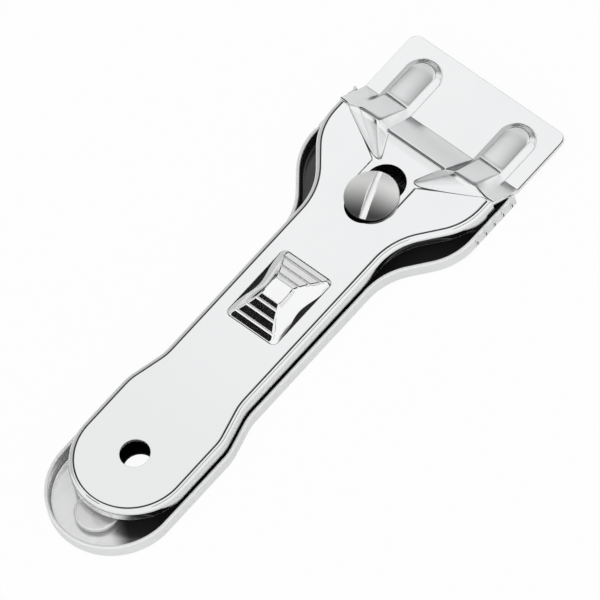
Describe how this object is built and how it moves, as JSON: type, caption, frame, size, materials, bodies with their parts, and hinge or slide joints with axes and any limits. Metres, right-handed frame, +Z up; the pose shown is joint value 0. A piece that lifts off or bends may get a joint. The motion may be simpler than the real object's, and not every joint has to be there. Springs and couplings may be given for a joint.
{
  "type": "ceramic hob scraper",
  "caption": "Flat all-metal scraper for glass ceramic hobs, with a sliding blade guard, a coin-slot clamp screw, a ribbed latch button and a hanging hole.",
  "frame": {"origin": "middle of the tray's underside: the middle of the overall length and width, at the face the scraper lies on", "axes": "+X from the tail to the head with the blade, +Y across the scraper, +Z up through the clamp screw's head"},
  "size_m": [0.142, 0.0468, 0.011],
  "materials": {
    "shell": "bright plated pressed steel",
    "slider": "bright plated casting",
    "screw": "plated, turned",
    "blade_steel": "ground blade steel, lightly oiled",
    "spring_steel": "tempered strip",
    "inner_steel": "zinc-plated sheet",
    "rivet_steel": "peened rivet"
  },
  "bodies": {
    "base": {"base_tray": "shell", "blade_carrier": "inner_steel", "carrier_rivets": "rivet_steel", "blade_studs": "rivet_steel", "scraper_blade": "blade_steel", "screw_boss": "inner_steel", "rear_rivet": "shell", "latch_bridge": "inner_steel", "bridge_rivets": "rivet_steel"},
    "guard": {"guard_cover": "shell", "rear_guide": "inner_steel", "latch_spring": "spring_steel", "spring_bracket": "inner_steel", "spring_rivets": "rivet_steel"},
    "slider": {"thumb_slider": "slider", "slider_plate": "inner_steel", "slider_rivets": "rivet_steel"},
    "washer": {"screw_washer": "inner_steel"},
    "screw": {"clamp_screw": "screw"}
  },
  "joints": [
    {"name": "guard_slide", "type": "slide", "parent": "base", "child": "guard", "axis": [-1, 0, 0], "range_m": [0, 0.0065], "deforming": ["latch_spring"]},
    {"name": "slider_press", "type": "slide", "parent": "guard", "child": "slider", "axis": [0, 0, -1], "range_m": [0, 0.0008], "stiffness_N_per_m": 3000, "springref_m": -0.0002, "deforming": ["latch_spring"]},
    {"name": "screw_lift", "type": "slide", "parent": "base", "child": "washer", "axis": [0, 0, 1], "range_m": [0, 0.0021]},
    {"name": "screw_turn", "type": "hinge", "parent": "washer", "child": "screw", "pos_m": [0.0317, 0, 0.009], "axis": [0, 0, 1], "range_deg": [0, 1080]}
  ],
  "couplings": [
    {"joint": "screw_turn", "follows": "screw_lift", "rad_per_m": 8975.9}
  ]
}
